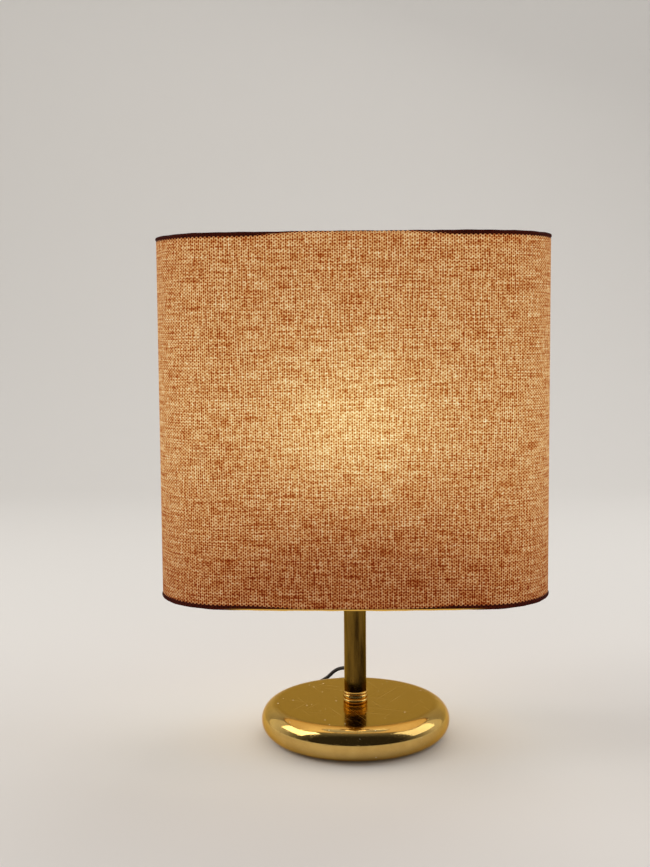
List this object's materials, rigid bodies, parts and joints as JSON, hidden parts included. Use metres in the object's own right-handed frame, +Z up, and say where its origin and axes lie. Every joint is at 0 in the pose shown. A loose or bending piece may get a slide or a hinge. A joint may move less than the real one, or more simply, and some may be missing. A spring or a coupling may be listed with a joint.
{
  "type": "table lamp",
  "caption": "Electric table lamp with a round brass pillow base, straight tube column, turn-knob socket, harp and a wide oblong fabric drum shade, with its cord coiled behind it.",
  "frame": {"origin": "on the floor, under the middle of the base", "axes": "+Z up along the column; the front of the shade and the switch knob face -Y; the cord leaves at +Y"},
  "size_m": [0.3394, 0.2461, 0.4502],
  "materials": {
    "base_brass": "polished, aged, with dust and fine scratches",
    "column_brass": "polished, aged",
    "harp_brass": "satin plated",
    "socket_brass": "satin plated",
    "finial_brass": "polished",
    "contact_brass": "plain",
    "zinc_steel": "zinc plated",
    "frame_steel": "brass plated wire",
    "iron": "raw casting",
    "felt": "matt felt",
    "fibre_sleeve": "matt fibre board",
    "phenolic": "moulded phenolic",
    "knob": "moulded, semi-gloss",
    "bulb_glass": "frosted inside, lit",
    "bulb_cap": "plain rolled",
    "bulb_insulator": "vitrite",
    "solder": "dull",
    "bulb_mount": "clear stem with wires",
    "shade_weave": "cream and rust-brown plain weave, lit from inside",
    "shade_lining": "translucent laminate",
    "shade_hem": "folded over and glued",
    "relief_rubber": "matt",
    "cord": "vinyl",
    "tie": "coated wire",
    "plug": "moulded vinyl"
  },
  "bodies": {
    "lamp": {"base_shell": "base_brass", "base_weight": "iron", "base_cover": "zinc_steel", "felt_pad": "felt", "rod_washer": "zinc_steel", "rod_nut": "zinc_steel", "threaded_rod": "zinc_steel", "column_collar": "column_brass", "column_tube": "column_brass", "column_cap": "column_brass", "harp_saddle": "harp_brass", "saddle_nut": "zinc_steel", "harp_wire": "harp_brass", "harp_stud": "harp_brass", "socket_cap": "socket_brass", "socket_shell": "socket_brass", "socket_liner": "fibre_sleeve", "socket_body": "phenolic", "screw_shell": "contact_brass", "centre_contact": "contact_brass", "terminal_screws": "contact_brass", "strain_relief": "relief_rubber", "inner_lead": "cord", "cord_lead": "cord", "cord_coil": "cord", "cord_tail": "cord", "coil_tie": "tie", "plug_body": "plug", "plug_blades": "contact_brass"},
    "switch": {"switch_stem": "contact_brass", "switch_knob": "knob"},
    "ferrule_left": {"harp_ferrule_left": "harp_brass"},
    "ferrule_right": {"harp_ferrule_right": "harp_brass"},
    "bulb": {"bulb_glass": "bulb_glass", "bulb_cap": "bulb_cap", "bulb_insulator": "bulb_insulator", "bulb_contact": "solder", "filament_mount": "bulb_mount"},
    "shade": {"shade_fabric": "shade_weave", "shade_liner": "shade_lining", "shade_hem_top": "shade_hem", "shade_hem_bottom": "shade_hem", "shade_seam": "shade_hem", "shade_ring_top": "frame_steel", "shade_ring_bottom": "frame_steel", "shade_spider": "frame_steel"},
    "finial": {"finial": "finial_brass"}
  },
  "joints": [
    {"name": "shade_turn", "type": "hinge", "parent": "lamp", "child": "shade", "pos_m": [0, 0, 0.4326], "axis": [0, 0, 1], "continuous": true},
    {"name": "finial_turn", "type": "hinge", "parent": "lamp", "child": "finial", "pos_m": [0, 0, 0.4346], "axis": [0, 0, 1], "continuous": true},
    {"name": "switch_turn", "type": "hinge", "parent": "lamp", "child": "switch", "pos_m": [0, -0.034, 0.213], "axis": [0, -1, 0], "continuous": true},
    {"name": "ferrule_left_slide", "type": "slide", "parent": "lamp", "child": "ferrule_left", "axis": [0, 0, 1], "range_m": [0, 0.014]},
    {"name": "ferrule_right_slide", "type": "slide", "parent": "lamp", "child": "ferrule_right", "axis": [0, 0, 1], "range_m": [0, 0.014]},
    {"name": "bulb_lift", "type": "slide", "parent": "lamp", "child": "bulb", "axis": [0, 0, 1], "range_m": [0, 0.03]}
  ]
}
